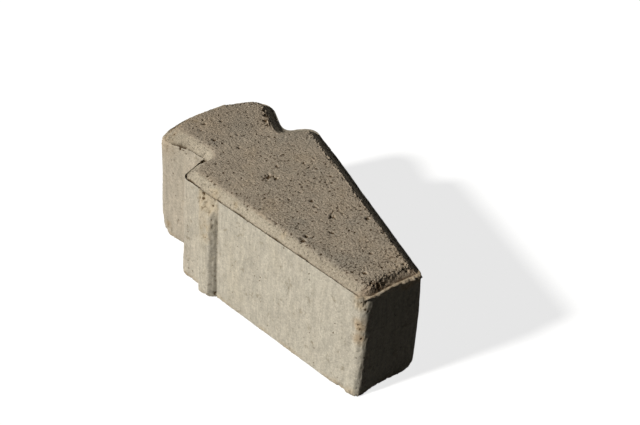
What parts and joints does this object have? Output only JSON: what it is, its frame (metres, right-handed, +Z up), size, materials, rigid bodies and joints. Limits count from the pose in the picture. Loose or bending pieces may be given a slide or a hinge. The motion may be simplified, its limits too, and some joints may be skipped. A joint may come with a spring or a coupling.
{
  "type": "concrete paving stone",
  "caption": "Wedge-shaped interlocking concrete paver with V-notched sides, a flared convex head, chamfered top and a spacer rib on each side.",
  "frame": {"origin": "centre of the bounding box in plan, on the bed face", "axes": "+Y along the stone from the narrow end to the convex head, +X across, +Z up through the walking face"},
  "size_m": [0.102, 0.205, 0.08],
  "materials": {
    "concrete": "pressed concrete: sandy open-pored walking face, smoother pale walls with faint vertical drag marks"
  },
  "bodies": {
    "root": {"paving_stone": "concrete"}
  },
  "joints": []
}
